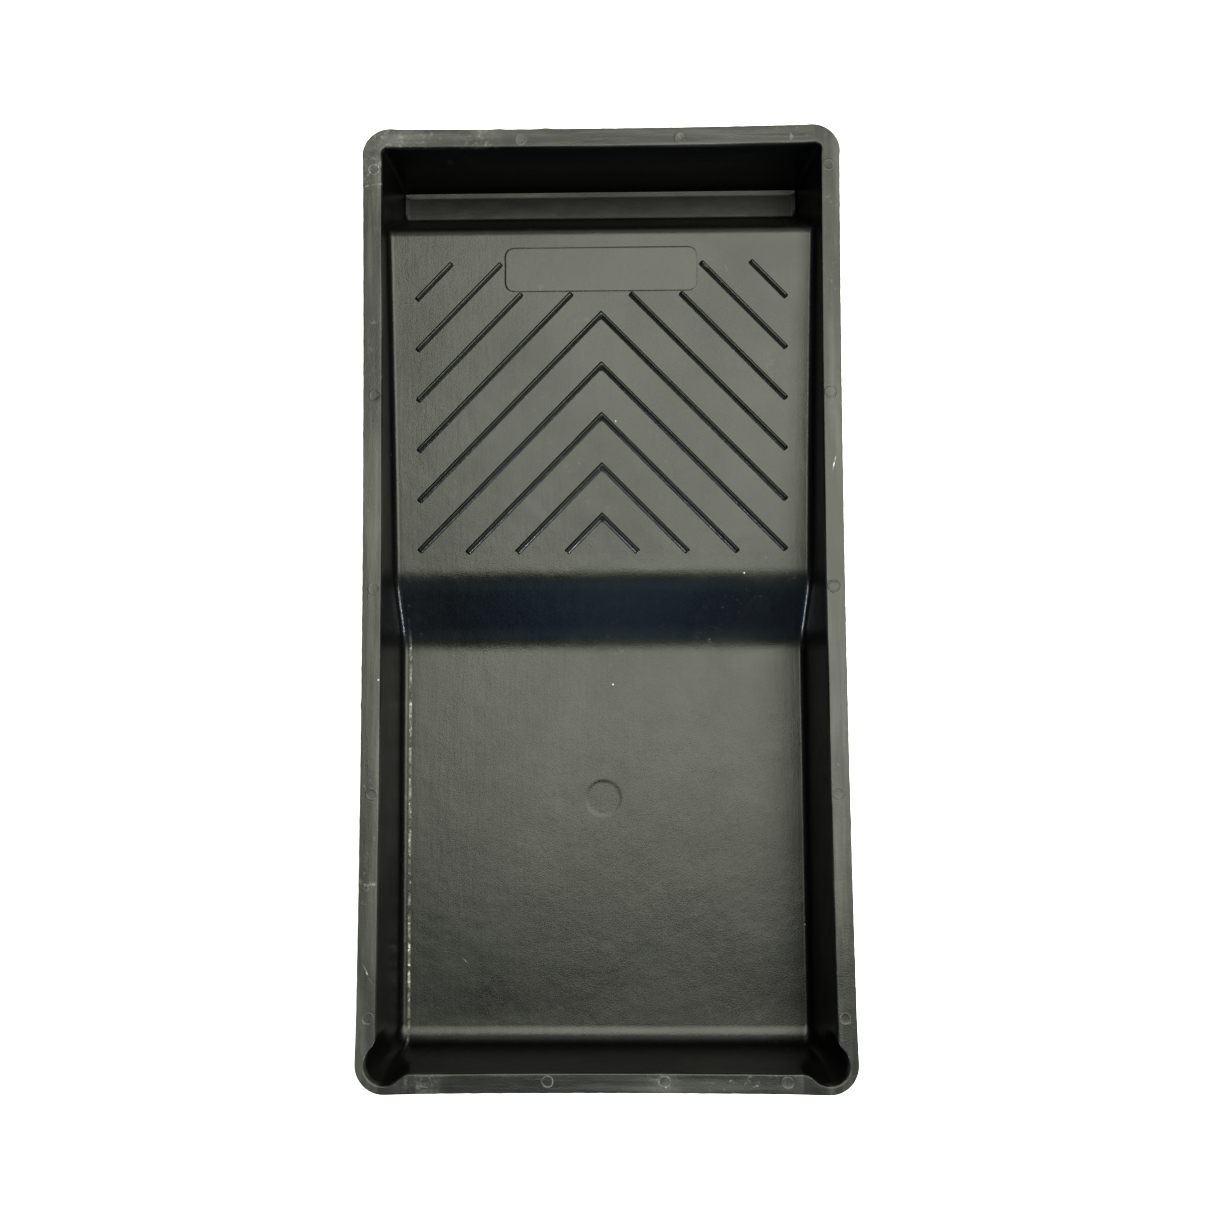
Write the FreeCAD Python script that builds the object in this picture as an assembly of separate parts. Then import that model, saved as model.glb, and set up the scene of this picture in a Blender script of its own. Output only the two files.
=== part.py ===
import FreeCAD, Part
import math
import os

# Mini paint roller tray: one thin-walled moulding of black polypropylene. Millimetres, +Z up.
# The origin is on the surface that it stands on, at the middle of its outline. +X is to its right
# and +Y runs up the ramp, from the paint well at the front to the foot at the rear.
# The moulding is drawn whole and then cut, face to face, into its named regions.

# Overall size
LENGTH = 306.5
WIDTH = 155.0
HEIGHT = 36.0
WALL = 1.6

# Rim flange
FLANGE = 6.1
CORNER_RADIUS = 9.0
INNER_CORNER_RADIUS = 2.0
SIDE_BOW = 1.2            # how far the long edges have pulled in at mid-length as the moulding cooled
END_BOW = 0.6             # the same for the short edges

# Walls: where each would meet the floor's plane
SIDE_FOOT_X = 68.9
FRONT_FOOT_Y = -145.0
REAR_FOOT_Y = 146.1
FOOT_CORNER_RADIUS = 1.5

# The floor's line from front to rear: well floor, slope, ramp, crest, then down into the foot
FLOOR_TOP = WALL
SLOPE_BOTTOM_Y = -11.7
SLOPE_ANGLE = 35.9
RAMP_ANGLE = 5.9
RAMP_START_Y = 6.5
CREST_Y = 123.2
FOOT_FRONT_Y = 136.0
SLOPE_BOTTOM_RADIUS = 17.0
SLOPE_TOP_RADIUS = 18.0
CREST_RADIUS = 2.6
FOOT_RADIUS = 1.2

# Pouring spouts: a round pocket in each front corner that narrows and leans in as it goes down
SPOUT_TOP_RADIUS = 6.3
SPOUT_FOOT_RADIUS = 3.0
SPOUT_LEAN = 5.6
SPOUT_FOOT_Z = 6.0

# Grip ribs on the ramp: V-shaped chevrons below, separate arms beside the badge panel
RIB_WIDTH = 1.7
RIB_HEIGHT = 0.8
RIB_PITCH = 16.59
FIRST_APEX_Y = 95.75
CHEVRONS = 5
ARMS = 4
RIB_END_X = 61.6
RIB_LOW_Y = 17.4
ARM_TOP_Y = (102.1, 102.1, 112.0, 112.2)

# Badge panel: a plain raised pad with rounded corners
BADGE_WIDTH = 63.4
BADGE_LOW_Y = 102.5
BADGE_HIGH_Y = 116.6
BADGE_RADIUS = 2.6
BADGE_HEIGHT = 0.4

# Round marks that the mould leaves: its ejector pins on the rim, and its gate under the well
PIN_RADIUS = 1.75
PIN_DEPTH = 0.12
SIDE_PIN_X = 73.8
SIDE_PIN_YS = (139.7, 65.0, 3.0, -61.6, -130.3)
FRONT_PIN_Y = -149.7
FRONT_PIN_XS = (-55.5, -18.0, 18.0, 55.5)
REAR_PIN_Y = 149.7
REAR_PIN_XS = (-25.8, 25.8)
GATE_RADIUS = 6.3
GATE_Y = -66.2
GATE_DEPTH = 0.2

# Where the moulding is cut into regions
SEAM_X = 66.0             # floor from side walls
FRONT_SEAM_Y = -140.0     # well floor from front wall
REAR_SEAM_Y = 143.0       # foot floor from rear wall
SPOUT_SEAM_X = 57.5
SPOUT_SEAM_Y = -132.0
RIM_CORNER_X = 66.5
RIM_CORNER_Y = 142.0

BEYOND = 20.0             # how far cutting shapes run past the tray
OVERRUN = 5.0             # how far the walls' shape runs past floor and rim before it is trimmed

half_length = LENGTH / 2
half_width = WIDTH / 2
rim_bottom = HEIGHT - WALL


def vector(x, y, z):
    return FreeCAD.Vector(x, y, z)


def box(x0, x1, y0, y1, z0, z1):
    return Part.makeBox(x1 - x0, y1 - y0, z1 - z0, vector(x0, y0, z0))


def arc(start, middle, end):
    """The edge through three points: an arc, or a line where they are in line."""
    if (middle - start).cross(end - middle).Length < 1e-9:
        return Part.LineSegment(start, end).toShape()
    return Part.Arc(start, middle, end).toShape()


def outline(half_x, front_y, rear_y, radius, side_bow, end_bow, z):
    """A rounded rectangle at height z whose edges curve in by the given bows at their middles."""
    corners = [
        (half_x - radius, rear_y - radius, 0.0),
        (-half_x + radius, rear_y - radius, 90.0),
        (-half_x + radius, front_y + radius, 180.0),
        (half_x - radius, front_y + radius, 270.0),
    ]
    middle_y = (front_y + rear_y) / 2
    bowed = [
        vector(0, rear_y - end_bow, z),
        vector(-half_x + side_bow, middle_y, z),
        vector(0, front_y + end_bow, z),
        vector(half_x - side_bow, middle_y, z),
    ]
    rounds = []
    for x, y, start in corners:
        points = []
        for degrees in (start, start + 45, start + 90):
            angle = math.radians(degrees)
            points.append(vector(x + radius * math.cos(angle), y + radius * math.sin(angle), z))
        rounds.append(points)
    edges = []
    for index, points in enumerate(rounds):
        following = rounds[(index + 1) % len(rounds)]
        edges.append(arc(*points))
        edges.append(arc(points[-1], bowed[index], following[0]))
    return Part.Wire(edges)


def walls(grow):
    """The space between the four drafted walls, from below the floor to above the rim."""
    wires = []
    for z in (FLOOR_TOP - OVERRUN, HEIGHT + OVERRUN):
        share = (z - FLOOR_TOP) / (HEIGHT - FLOOR_TOP)
        rim_x = half_width - FLANGE
        rim_y = half_length - FLANGE
        half_x = SIDE_FOOT_X + (rim_x - SIDE_FOOT_X) * share + grow
        front_y = FRONT_FOOT_Y + (-rim_y - FRONT_FOOT_Y) * share - grow
        rear_y = REAR_FOOT_Y + (rim_y - REAR_FOOT_Y) * share + grow
        radius = FOOT_CORNER_RADIUS + (INNER_CORNER_RADIUS - FOOT_CORNER_RADIUS) * share + grow
        wires.append(outline(half_x, front_y, rear_y, radius, SIDE_BOW * share, END_BOW * share, z))
    return Part.makeLoft(wires, True, True)


def ramp_z(y):
    """Height of the ramp's upper face."""
    start_z = FLOOR_TOP + (RAMP_START_Y - SLOPE_BOTTOM_Y) * math.tan(math.radians(SLOPE_ANGLE))
    return start_z + (y - RAMP_START_Y) * math.tan(math.radians(RAMP_ANGLE))


def floor_corners():
    """The corners of the floor's line as (y, z, radius), the radius positive in a hollow."""
    return [
        (-half_length - BEYOND, FLOOR_TOP, 0.0),
        (SLOPE_BOTTOM_Y, FLOOR_TOP, SLOPE_BOTTOM_RADIUS),
        (RAMP_START_Y, ramp_z(RAMP_START_Y), -SLOPE_TOP_RADIUS),
        (CREST_Y, ramp_z(CREST_Y), -CREST_RADIUS),
        (FOOT_FRONT_Y, FLOOR_TOP, FOOT_RADIUS),
        (half_length + BEYOND, FLOOR_TOP, 0.0),
    ]


def lowered(corners, depth):
    """The same line moved by depth to its underside, square to each of its straight runs."""
    lines = []
    for (y0, z0, _), (y1, z1, _) in zip(corners, corners[1:]):
        length = math.hypot(y1 - y0, z1 - z0)
        along = ((y1 - y0) / length, (z1 - z0) / length)
        lines.append((y0 + along[1] * depth, z0 - along[0] * depth, along))
    moved = [(lines[0][0], lines[0][1], 0.0)]
    for (ya, za, a), (yb, zb, b), corner in zip(lines, lines[1:], corners[1:]):
        cross = a[0] * b[1] - a[1] * b[0]
        reach = ((yb - ya) * b[1] - (zb - za) * b[0]) / cross
        moved.append((ya + a[0] * reach, za + a[1] * reach, corner[2] + depth))
    moved.append((corners[-1][0], corners[-1][1] - depth, 0.0))
    return moved


def rounded_line(corners):
    """Edges in the plane X = 0 along the corners, each corner rounded to its radius."""
    edges = []
    last = vector(0, corners[0][0], corners[0][1])
    for before, corner, after in zip(corners, corners[1:], corners[2:]):
        point = vector(0, corner[0], corner[1])
        back = (vector(0, before[0], before[1]) - point).normalize()
        ahead = (vector(0, after[0], after[1]) - point).normalize()
        half_angle = back.getAngle(ahead) / 2
        radius = abs(corner[2])
        reach = radius / math.tan(half_angle)
        centre = point + (back + ahead).normalize() * (radius / math.sin(half_angle))
        middle = centre + (point - centre).normalize() * radius
        edges.append(Part.LineSegment(last, point + back * reach).toShape())
        edges.append(arc(point + back * reach, middle, point + ahead * reach))
        last = point + ahead * reach
    end = vector(0, corners[-1][0], corners[-1][1])
    edges.append(Part.LineSegment(last, end).toShape())
    return edges


def above(corners):
    """Everything above the floor's line, across the full width."""
    edges = rounded_line(corners)
    start = edges[0].Vertexes[0].Point
    end = edges[-1].Vertexes[-1].Point
    top = HEIGHT + BEYOND
    high_end = vector(0, end.y, top)
    high_start = vector(0, start.y, top)
    edges.append(Part.LineSegment(end, high_end).toShape())
    edges.append(Part.LineSegment(high_end, high_start).toShape())
    edges.append(Part.LineSegment(high_start, start).toShape())
    face = Part.Face(Part.Wire(edges))
    solid = face.extrude(vector(WIDTH + 2 * BEYOND, 0, 0))
    solid.translate(vector(-half_width - BEYOND, 0, 0))
    return solid


def spout(side, grow):
    """The round pocket of a pouring spout, wide at the rim and leaning in towards its foot."""
    inset = CORNER_RADIUS
    top = vector(side * (half_width - inset), -(half_length - inset), HEIGHT)
    foot = vector(top.x - side * SPOUT_LEAN, top.y + SPOUT_LEAN, SPOUT_FOOT_Z - grow)
    circles = []
    for centre, radius in ((foot, SPOUT_FOOT_RADIUS), (top, SPOUT_TOP_RADIUS)):
        circle = Part.makeCircle(radius + grow, centre, vector(0, 0, 1))
        circles.append(Part.Wire([circle]))
    return Part.makeLoft(circles, True, True)


def hollow(grow):
    """The tray's inside grown outwards by grow: 0 gives the inner faces, WALL the outer ones."""
    corners = floor_corners()
    if grow:
        corners = lowered(corners, grow)
    solid = walls(grow).common(above(corners))
    for side in (-1, 1):
        solid = solid.fuse(spout(side, grow))
    return solid.common(box(-half_width, half_width, -half_length, half_length, -WALL, HEIGHT))


def moulding():
    """The whole tray as one thin-walled solid."""
    edge = outline(half_width, -half_length, half_length, CORNER_RADIUS, SIDE_BOW, END_BOW, rim_bottom)
    flange = Part.Face(edge).extrude(vector(0, 0, WALL))
    tray = hollow(WALL).fuse(flange).cut(hollow(0.0))
    marks = []
    for side in (-1, 1):
        for y in SIDE_PIN_YS:
            marks.append((side * SIDE_PIN_X, y))
    for x in FRONT_PIN_XS:
        marks.append((x, FRONT_PIN_Y))
    for x in REAR_PIN_XS:
        marks.append((x, REAR_PIN_Y))
    for x, y in marks:
        tray = tray.cut(Part.makeCylinder(PIN_RADIUS, PIN_DEPTH, vector(x, y, HEIGHT - PIN_DEPTH)))
    gate = Part.makeCylinder(GATE_RADIUS, GATE_DEPTH, vector(0, GATE_Y, FLOOR_TOP - GATE_DEPTH))
    return tray.cut(gate).removeSplitter()


def regions():
    """Name and box of each region. The boxes fill the tray's space and don't overlap."""
    floor_low = -WALL
    rim_high = HEIGHT + WALL
    end = half_length + BEYOND
    slope_low = SLOPE_BOTTOM_Y - 7.0
    slope_high = RAMP_START_Y + 7.0
    crest = CREST_Y - 3.0
    foot_low = FOOT_FRONT_Y + 0.9
    found = {}
    x0, x1 = -SEAM_X, SEAM_X
    found["well_floor"] = (x0, x1, FRONT_SEAM_Y, slope_low, floor_low, rim_bottom)
    found["well_slope"] = (x0, x1, slope_low, slope_high, floor_low, rim_bottom)
    found["ramp_panel"] = (x0, x1, slope_high, crest, floor_low, rim_bottom)
    found["foot_front_wall"] = (x0, x1, crest, foot_low, floor_low, rim_bottom)
    found["foot_floor"] = (x0, x1, foot_low, REAR_SEAM_Y, floor_low, rim_bottom)
    found["rear_wall"] = (x0, x1, REAR_SEAM_Y, end, floor_low, rim_bottom)
    found["front_wall"] = (-SPOUT_SEAM_X, SPOUT_SEAM_X, -end, FRONT_SEAM_Y, floor_low, rim_bottom)
    found["rim_front"] = (-SPOUT_SEAM_X, SPOUT_SEAM_X, -end, SPOUT_SEAM_Y, rim_bottom, rim_high)
    found["rim_rear"] = (-RIM_CORNER_X, RIM_CORNER_X, RIM_CORNER_Y, end, rim_bottom, rim_high)
    for name, side in (("left", -1), ("right", 1)):
        far = side * (half_width + BEYOND)
        spans = {
            "well_side": (SEAM_X, SPOUT_SEAM_Y, slope_low, floor_low, rim_bottom),
            "slope_side": (SEAM_X, slope_low, slope_high, floor_low, rim_bottom),
            "ramp_side": (SEAM_X, slope_high, crest, floor_low, rim_bottom),
            "foot_side": (SEAM_X, crest, end, floor_low, rim_bottom),
            "rim": (SEAM_X, SPOUT_SEAM_Y, RIM_CORNER_Y, rim_bottom, rim_high),
            "rim_corner": (RIM_CORNER_X, RIM_CORNER_Y, end, rim_bottom, rim_high),
        }
        for span, (near, y0, y1, z0, z1) in spans.items():
            low, high = sorted((side * near, far))
            found[span + "_" + name] = (low, high, y0, y1, z0, z1)
    return found


def spout_regions():
    """The two front corners. Each is a box less the part that the well floor has."""
    found = {}
    for name, side in (("left", -1), ("right", 1)):
        near = sorted((side * SPOUT_SEAM_X, side * (half_width + BEYOND)))
        corner = box(*near, -half_length - BEYOND, FRONT_SEAM_Y, -WALL, HEIGHT + WALL)
        beside = sorted((side * SEAM_X, side * (half_width + BEYOND)))
        corner = corner.fuse(box(*beside, FRONT_SEAM_Y, SPOUT_SEAM_Y, -WALL, HEIGHT + WALL))
        found["pour_spout_" + name] = corner
    return found


def ramp_layer(height):
    """The layer that lies on the ramp's upper face, as thick as height."""
    angle = math.radians(RAMP_ANGLE)
    lift = height / math.cos(angle)
    low_y = RIB_LOW_Y - RIB_WIDTH
    corners = [
        vector(0, low_y, ramp_z(low_y)),
        vector(0, CREST_Y, ramp_z(CREST_Y)),
        vector(0, CREST_Y, ramp_z(CREST_Y) + lift),
        vector(0, low_y, ramp_z(low_y) + lift),
    ]
    face = Part.Face(Part.makePolygon(corners + corners[:1]))
    layer = face.extrude(vector(WIDTH, 0, 0))
    layer.translate(vector(-half_width, 0, 0))
    return layer


def column(points):
    """A flat outline in X and Y carried up through the ramp's whole height."""
    corners = [vector(x, y, 0) for x, y in points]
    return Part.Face(Part.makePolygon(corners + corners[:1])).extrude(vector(0, 0, HEIGHT))


def chevron(apex_y, low_y):
    """A V of two arms that run down from the apex until low_y or RIB_END_X, whichever is first."""
    reach = min(RIB_END_X, apex_y - low_y)
    foot_y = apex_y - reach
    width = RIB_WIDTH * math.sqrt(2)
    nib = RIB_WIDTH / math.sqrt(2)
    half = [
        (reach, foot_y),
        (reach - nib, foot_y - nib),
    ]
    outer = [(0, apex_y)] + half + [(0, apex_y - width)]
    mirrored = [(-x, y) for x, y in reversed(half)]
    return column(outer + mirrored)


def arm(side, apex_y, top_y):
    """One straight arm of the same pattern, cut off at top_y beside the badge panel."""
    nib = RIB_WIDTH / math.sqrt(2)
    inner_x = apex_y - top_y
    foot_y = apex_y - RIB_END_X
    points = [
        (inner_x, top_y),
        (RIB_END_X, foot_y),
        (RIB_END_X - nib, foot_y - nib),
        (inner_x - nib, top_y - nib),
    ]
    return column([(side * x, y) for x, y in points])


def ramp_pieces():
    """The ribs and the badge panel, which stand on the ramp's face."""
    layer = ramp_layer(RIB_HEIGHT)
    found = {}
    for index in range(CHEVRONS):
        apex_y = FIRST_APEX_Y - index * RIB_PITCH
        found["chevron_rib_%d" % (index + 1)] = chevron(apex_y, RIB_LOW_Y).common(layer)
    for name, side in (("left", -1), ("right", 1)):
        for index in range(ARMS):
            apex_y = FIRST_APEX_Y + (index + 1) * RIB_PITCH
            rib = arm(side, apex_y, ARM_TOP_Y[index])
            found["side_rib_%s_%d" % (name, index + 1)] = rib.common(layer)
    middle_y = (BADGE_LOW_Y + BADGE_HIGH_Y) / 2
    half_y = (BADGE_HIGH_Y - BADGE_LOW_Y) / 2
    wire = outline(BADGE_WIDTH / 2, -half_y, half_y, BADGE_RADIUS, 0.0, 0.0, 0.0)
    pad = Part.Face(wire).extrude(vector(0, 0, HEIGHT))
    pad.translate(vector(0, middle_y, 0))
    found["badge_panel"] = pad.common(ramp_layer(BADGE_HEIGHT))
    return found


def single(shape):
    """The one solid in shape, so that every file holds exactly one."""
    solids = [solid for solid in shape.Solids if solid.Volume > 1e-3]
    if len(solids) != 1:
        raise RuntimeError("expected one solid, found %d" % len(solids))
    return solids[0]


def main():
    tray = moulding()
    pieces = {}
    for name, limits in regions().items():
        pieces[name] = tray.common(box(*limits))
    for name, corner in spout_regions().items():
        pieces[name] = tray.common(corner)
    pieces.update(ramp_pieces())
    os.makedirs("parts", exist_ok=True)
    total = 0.0
    for name in sorted(pieces):
        try:
            solid = single(pieces[name])
        except RuntimeError as problem:
            raise RuntimeError("%s: %s" % (name, problem))
        solid.exportStep("parts/%s.step" % name)
        total += solid.Volume
        size = solid.BoundBox
        print("%-20s %7.1f x %6.1f x %5.1f mm" % (name, size.XLength, size.YLength, size.ZLength))
    print("moulding %.2f cm3, pieces %.2f cm3" % (tray.Volume / 1000, total / 1000))


main()
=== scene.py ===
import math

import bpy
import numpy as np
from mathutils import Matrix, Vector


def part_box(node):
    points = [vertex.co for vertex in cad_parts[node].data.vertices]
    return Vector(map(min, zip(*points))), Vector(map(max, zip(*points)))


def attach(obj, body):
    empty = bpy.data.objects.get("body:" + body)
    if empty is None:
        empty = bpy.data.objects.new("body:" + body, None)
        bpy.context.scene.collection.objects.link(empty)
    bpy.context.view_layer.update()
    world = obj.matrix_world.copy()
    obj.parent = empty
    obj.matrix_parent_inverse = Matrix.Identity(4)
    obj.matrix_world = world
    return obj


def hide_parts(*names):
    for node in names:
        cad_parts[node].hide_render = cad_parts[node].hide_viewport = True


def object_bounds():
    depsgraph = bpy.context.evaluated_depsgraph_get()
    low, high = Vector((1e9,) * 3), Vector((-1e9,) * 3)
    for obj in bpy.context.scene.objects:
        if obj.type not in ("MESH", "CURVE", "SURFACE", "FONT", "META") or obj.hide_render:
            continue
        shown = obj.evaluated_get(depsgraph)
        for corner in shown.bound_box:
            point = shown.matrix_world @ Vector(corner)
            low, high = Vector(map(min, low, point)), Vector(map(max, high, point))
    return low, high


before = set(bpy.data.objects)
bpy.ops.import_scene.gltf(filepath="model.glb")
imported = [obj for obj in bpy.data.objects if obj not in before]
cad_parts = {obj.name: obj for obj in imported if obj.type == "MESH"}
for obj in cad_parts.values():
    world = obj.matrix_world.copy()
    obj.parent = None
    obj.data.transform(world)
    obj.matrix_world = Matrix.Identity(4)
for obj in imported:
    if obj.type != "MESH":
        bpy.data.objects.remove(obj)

# Mini paint roller tray: a black polypropylene moulding. Lengths here are millimetres, in the frame's
# axes: +X to the right, +Y up the ramp, +Z up. Meshes are scaled to metres when they are made.
# The moulding is drawn as one upper and one lower skin with the same grid of points, then cut into
# the frame's regions, each a closed shell that keeps the normals of the whole.

MM = 0.001

cad_box = [list(corner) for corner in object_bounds()]

# Overall size, from the frame
HALF_WIDTH = cad_box[1][0] / MM
HALF_LENGTH = cad_box[1][1] / MM
HEIGHT = cad_box[1][2] / MM
WALL = (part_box("foot_floor")[1].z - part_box("foot_floor")[0].z) / MM

# Seams between regions, from the frame
SEAM_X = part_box("well_floor")[1].x / MM
FRONT_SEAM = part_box("well_floor")[0].y / MM
SLOPE_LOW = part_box("well_slope")[0].y / MM
SLOPE_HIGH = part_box("well_slope")[1].y / MM
CREST_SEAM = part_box("ramp_panel")[1].y / MM
FOOT_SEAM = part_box("foot_floor")[0].y / MM
REAR_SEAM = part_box("foot_floor")[1].y / MM
SPOUT_SEAM_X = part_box("front_wall")[1].x / MM
SPOUT_SEAM_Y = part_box("rim_left")[0].y / MM
RIM_CORNER_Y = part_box("rim_left")[1].y / MM

# Rim
FLANGE = 6.1
CORNER_RADIUS = 9.0
INNER_CORNER_RADIUS = 2.0
SIDE_BOW = 1.2
END_BOW = 0.6
RIM_DROP = 0.1            # room above the rim for the raised mould marks
EDGE_ROUND = 0.22         # rim's outer edges
LIP_ROUND = 0.6           # where the rim turns down into the walls
UNDER_ROUND = 0.8         # hollow between the rim's underside and the outer walls
RIM_X = HALF_WIDTH - FLANGE
RIM_Y = HALF_LENGTH - FLANGE
RIM_TOP = HEIGHT - RIM_DROP

# Foot of the walls, and the hollows between walls and floor
SIDE_FOOT_X = 68.9
SIDE_HOLLOW = 1.9
REAR_HOLLOW = 2.1
FRONT_HOLLOW = 5.3
FRONT_SQUASH = 0.3          # how much shallower than round the front hollow is
FLOOR_CORNER_X = 66.05
FLOOR_CORNER_FRONT = -141.0
FLOOR_CORNER_REAR = 143.0
FLOOR_CORNER_RADIUS = 1.0
REAR_CORNER_RADIUS = 0.3
REAR_SQUARENESS = 6         # the trench's rear corners follow a superellipse of this power
HOLLOW_HALF_TURN = 44.0     # degrees, half of what a hollow turns through under a drafted wall

# The floor's line from front to rear
FLOOR_TOP = WALL
SLOPE_BOTTOM_Y = -11.7
SLOPE_ANGLE = 35.9
RAMP_ANGLE = 5.9
RAMP_START_Y = 6.5
CREST_Y = 123.2
FOOT_FRONT_Y = 136.0
SLOPE_BOTTOM_RADIUS = 17.0
SLOPE_TOP_RADIUS = 18.0
CREST_RADIUS = 4.0
FOOT_RADIUS = 1.2

# Pouring spouts
SPOUT_RADIUS = 6.3
SPOUT_BLEND = 5.0
SPOUT_DEPTH = 17.0

# Grip ribs and badge panel
RIB_WIDTH = 1.7
RIB_PITCH = 16.59
FIRST_APEX_Y = 95.75
CHEVRONS = 5
RIB_END_X = 61.6
RIB_LOW_Y = 17.0
ARM_TOP_Y = (102.1, 102.1, 112.0, 112.2)
BADGE_RADIUS = 3.3

# Marks of the mould
PIN_RADIUS = 1.75
SIDE_PIN_X = 73.8
SIDE_PIN_YS = (139.7, 65.0, 3.0, -61.6, -130.3)
FRONT_PIN_Y = -149.7
FRONT_PIN_XS = (-55.5, -18.0, 18.0, 55.5)
REAR_PIN_Y = 149.7
REAR_PIN_XS = (-25.8, 25.8)
BURRS = ((-17.5, 152.7, 2.2, 0.3), (-33.0, 152.7, 1.2, 0.12), (-76.3, 52.0, 1.5, 0.15),
         (-76.3, -22.0, 1.2, 0.12), (-76.3, -34.0, 1.0, 0.15), (76.3, -71.0, 1.4, 0.12))
PIN_SIDES = 32
GATE_RADIUS = 6.3
GATE_Y = -66.2
GATE_DEPTH = 0.14
GATE_EDGE = 0.9             # width of the step round the gate mark

# shallow sinks in the panels as (x, y, reach along x, reach along y, depth)
SINKS = (
    (0.0, 20.9, 2.6, 2.4, 0.09), (0.0, 34.3, 2.4, 1.8, 0.06), (-1.0, 53.4, 11.0, 1.6, -0.05),
    (2.0, 50.6, 7.0, 1.2, 0.04), (-2.3, -121.8, 3.2, 3.2, 0.03), (1.0, -86.0, 2.2, 6.0, 0.02),
    (14.0, -34.0, 3.5, 3.0, 0.02), (0.0, 64.0, 1.8, 9.0, -0.02),
)

# How finely the skins are drawn
CORNER_STEPS = 10
WALL_STEPS = 14
HOLLOW_STEPS = 11
FLAT_STEPS = 5
LINE_ARC_STEPS = 24
SPOUT_ARC_STEPS = 48
BADGE_CORNER_STEPS = 8
SHARP_ANGLE = 50.0          # degrees of turn past which an edge of a rib or mark is drawn sharp

# Which of a region's two materials a face wears
RIM_PAINT = 0
PANEL_PAINT = 1


# -------- the floor's line

def ramp_z(y):
    """Height of the ramp's upper face."""
    start = FLOOR_TOP + (RAMP_START_Y - SLOPE_BOTTOM_Y) * math.tan(math.radians(SLOPE_ANGLE))
    return start + (y - RAMP_START_Y) * math.tan(math.radians(RAMP_ANGLE))


def floor_corners():
    """The corners of the floor's line as (y, z, radius), the radius positive in a hollow."""
    return [
        (-HALF_LENGTH, FLOOR_TOP, 0.0),
        (SLOPE_BOTTOM_Y, FLOOR_TOP, SLOPE_BOTTOM_RADIUS),
        (RAMP_START_Y, ramp_z(RAMP_START_Y), -SLOPE_TOP_RADIUS),
        (CREST_Y, ramp_z(CREST_Y), -CREST_RADIUS),
        (FOOT_FRONT_Y, FLOOR_TOP, FOOT_RADIUS),
        (HALF_LENGTH, FLOOR_TOP, 0.0),
    ]


def lowered(corners, depth):
    """The same line moved by depth to its underside, square to each of its straight runs."""
    lines = []
    for (y0, z0, _), (y1, z1, _) in zip(corners, corners[1:]):
        length = math.hypot(y1 - y0, z1 - z0)
        along = ((y1 - y0) / length, (z1 - z0) / length)
        lines.append((y0 + along[1] * depth, z0 - along[0] * depth, along))
    moved = [(lines[0][0], lines[0][1], 0.0)]
    for (ya, za, a), (yb, zb, b), corner in zip(lines, lines[1:], corners[1:]):
        cross = a[0] * b[1] - a[1] * b[0]
        reach = ((yb - ya) * b[1] - (zb - za) * b[0]) / cross
        moved.append((ya + a[0] * reach, za + a[1] * reach, corner[2] + depth))
    moved.append((corners[-1][0], corners[-1][1] - depth, 0.0))
    return moved


def sampled(corners):
    """Points along the line with each corner rounded, as (ys, zs) for interpolation."""
    points = [np.array(corners[0][:2])]
    for before, corner, after in zip(corners, corners[1:], corners[2:]):
        middle = np.array(corner[:2])
        back = np.array(before[:2]) - middle
        ahead = np.array(after[:2]) - middle
        back = back / np.linalg.norm(back)
        ahead = ahead / np.linalg.norm(ahead)
        half = math.acos(float(back @ ahead)) / 2
        radius = abs(corner[2])
        reach = radius / math.tan(half)
        inward = (back + ahead) / np.linalg.norm(back + ahead)
        centre = middle + inward * (radius / math.sin(half))
        start = middle + back * reach - centre
        end = middle + ahead * reach - centre
        turn = math.pi - 2 * half
        for share in np.linspace(0.0, 1.0, LINE_ARC_STEPS + 1):
            blend = math.sin((1 - share) * turn) * start + math.sin(share * turn) * end
            points.append(centre + blend / math.sin(turn))
    points.append(np.array(corners[-1][:2]))
    line = np.array(points)
    return line[:, 0], line[:, 1]


upper_line = sampled(floor_corners())
lower_line = sampled(lowered(floor_corners(), WALL))


def upper_z(y):
    return np.interp(y, *upper_line)


def lower_z(y):
    return np.interp(y, *lower_line)


def smooth(value):
    value = np.clip(value, 0.0, 1.0)
    return value * value * (3 - 2 * value)


def waviness(x, y):
    """How far the large panels stand off flat: the warp of a thin moulding and its shallow sinks."""
    edge = smooth((SEAM_X - np.abs(x)) / 14.0) * smooth((y - FRONT_SEAM) / 14.0)
    edge = edge * smooth((CREST_SEAM - y) / 10.0)
    slow = np.sin(x * 0.043 + 0.6) * np.cos(y * 0.031 + 0.4) * 0.09
    quick = np.sin(x * 0.11 - y * 0.07 + 1.3) * np.sin(y * 0.083 + 0.9) * 0.025
    ripple = np.sin(x * 0.31 + y * 0.19) * np.sin(y * 0.27 - x * 0.12 + 2.0) * 0.004
    sinks = 0.0
    for centre_x, centre_y, reach_x, reach_y, depth in SINKS:
        distance = ((x - centre_x) / reach_x) ** 2 + ((y - centre_y) / reach_y) ** 2
        sinks = sinks - depth * np.exp(-distance)
    return edge * (slow + quick + ripple + sinks)


def gate_mark(x, y):
    """The shallow round witness of the mould's gate in the well floor."""
    distance = np.hypot(x, y - GATE_Y)
    return -GATE_DEPTH * (1 - smooth((distance - GATE_RADIUS + GATE_EDGE) / GATE_EDGE))


# -------- stations round the tray

def bands(*spans):
    """Values over consecutive (start, end, step) spans, each end shared with the next start."""
    values = []
    for start, end, step in spans:
        count = max(1, round(abs(end - start) / step))
        values.extend(np.linspace(start, end, count + 1)[:-1])
    values.append(spans[-1][1])
    return np.array(values)


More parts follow.
